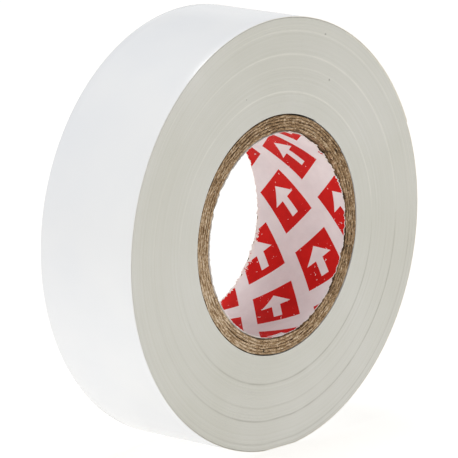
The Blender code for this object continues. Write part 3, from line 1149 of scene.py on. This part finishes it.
# %% [markdown]
# ## Floor and light
#
# The roll was photographed in a light tent: everything round it is white, so it has hardly any
# shading, and only what its surface reflects tells how it curves. The tent has three parts here.
#
# - The floor is a sheet of opal acrylic, lit from below. It brightens the lower half of the rim
#   and the top of the bore, and still catches a soft shadow where the roll stands.
# - The world is the tent's white cloth. Above the roll it is open in front and behind, so little
#   light falls down into the bore, and the top of the rim reflects a grey band.
# - A softbox above the tent lights the top of the rim, and a small one stands close to its left.
#
# Rays that come straight from the camera see plain white, without more light on the object.

# %% Floor
FLOOR_REACH = 3.0                    # to each side of the roll
FLOOR_DROP = 0.02 * MM               # below the rim's flat, so that the two don't flicker
FLOOR_GLOW = 0.66                    # light from below, where the tent's cloth gives 0.83
FLOOR_SEEN = 0.69                    # the part of it that the camera sees


def opal_acrylic():
    material, node = emptied(bpy.data.materials.new("opal_acrylic_lit_from_below"))
    position = node("ShaderNodeTexCoord").outputs["Object"]
    tone = node(NOISE, position, Scale=8, Detail=2)
    white = node(RAMP, tone, stops=((0.3, "B0B0B0"), (0.7, "B3B3B3")))
    # the camera sees the floor just as white as the background, and darker in the roll's shadow
    rays = node("ShaderNodeLightPath").outputs
    camera_ray = rays["Is Camera Ray"]
    seen = node(MIX, camera_ray, FLOOR_GLOW, FLOOR_SEEN, data_type="FLOAT")
    glow = node("ShaderNodeEmission", linear("FFFDF9"), seen)
    shader = node("ShaderNodeBsdfPrincipled", white, Roughness=0.9, Specular_IOR_Level=0.1)
    both = node("ShaderNodeAddShader", shader, glow)
    node("ShaderNodeOutputMaterial", both)
    return material


def add_floor():
    signs = ((-1, -1), (1, -1), (1, 1), (-1, 1))
    corners = [(x * FLOOR_REACH, y * FLOOR_REACH, -FLOOR_DROP) for x, y in signs]
    data = bpy.data.meshes.new("studio_floor")
    data.from_pydata(corners, [], [(0, 1, 2, 3)])
    data.materials.append(opal_acrylic())
    floor_piece = new_object("studio_floor", data)
    return floor_piece


print("floor:", add_floor().name)

# %% World and lamps
SKY_LOW = 0.83                       # light from the tent's cloth, up to the roll's own height
SKY_SIDES = 0.68                     # higher up, on the left and the right
SKY_ENDS = 0.18                      # higher up, in front and behind, where the tent is open
SKY_HIGH = 0.6                       # from its roof


def studio_world():
    world, node = emptied(bpy.data.worlds.new("white_studio"))
    bpy.context.scene.world = world
    way = node("ShaderNodeTexCoord").outputs["Generated"]
    way = node("ShaderNodeSeparateXYZ", way).outputs
    # 1 towards the left and the right, 0 towards the front and the back
    sideways = node(MATH, way["X"], way["X"], operation="MULTIPLY")
    level = node(MATH, way["Y"], way["Y"], sideways, operation="MULTIPLY_ADD")
    sideways = node(MATH, sideways, level, operation="DIVIDE")
    raised = node(RANGE, way["Z"], 0.2, 0.5, **SMOOTH)
    steep = node(RANGE, way["Z"], 0.7, 0.9, **SMOOTH)
    cloth = node(MIX, sideways, SKY_ENDS, SKY_SIDES, data_type="FLOAT")
    cloth = node(MIX, raised, SKY_LOW, cloth, data_type="FLOAT")
    cloth = node(MIX, steep, cloth, SKY_HIGH, data_type="FLOAT")
    rays = node("ShaderNodeLightPath").outputs
    seen = node(MATH, rays["Is Camera Ray"], rays["Is Transmission Ray"], operation="MAXIMUM")
    strength = node(MIX, seen, cloth, 1.0, data_type="FLOAT")
    background = node("ShaderNodeBackground", linear("FFFFFF"), strength)
    node("ShaderNodeOutputWorld", background)
    return world


def add_softbox(name, azimuth, elevation, distance, size, watts):
    """Square area lamp that looks at the roll from an azimuth and elevation in degrees."""
    data = bpy.data.lights.new(name, "AREA")
    data.shape = "SQUARE"
    data.size = size
    data.energy = watts
    lamp = new_object(name, data)
    turn, rise = radians(azimuth), radians(elevation)
    way = Vector((sin(turn) * cos(rise), -cos(turn) * cos(rise), sin(rise)))
    lamp.location = way * distance + Vector((0, 0, ROLL_HEIGHT))
    lamp.rotation_euler = way.to_track_quat("Z", "Y").to_euler()
    lamp.visible_camera = False
    return lamp


print("world:", studio_world().name)
print("lamp:", add_softbox("roof_softbox", 150, 80, 0.8, 0.4, 2.9).name)
print("lamp:", add_softbox("left_softbox", -85, 15, 0.2, 0.08, 0.03).name)

# %% [markdown]
# ## Finish
#
# The dressed roll is meant to keep the size of the engineering model. The last line sets the
# view transform to Standard.

# %% Finish
bpy.context.scene.view_settings.view_transform = "Standard"
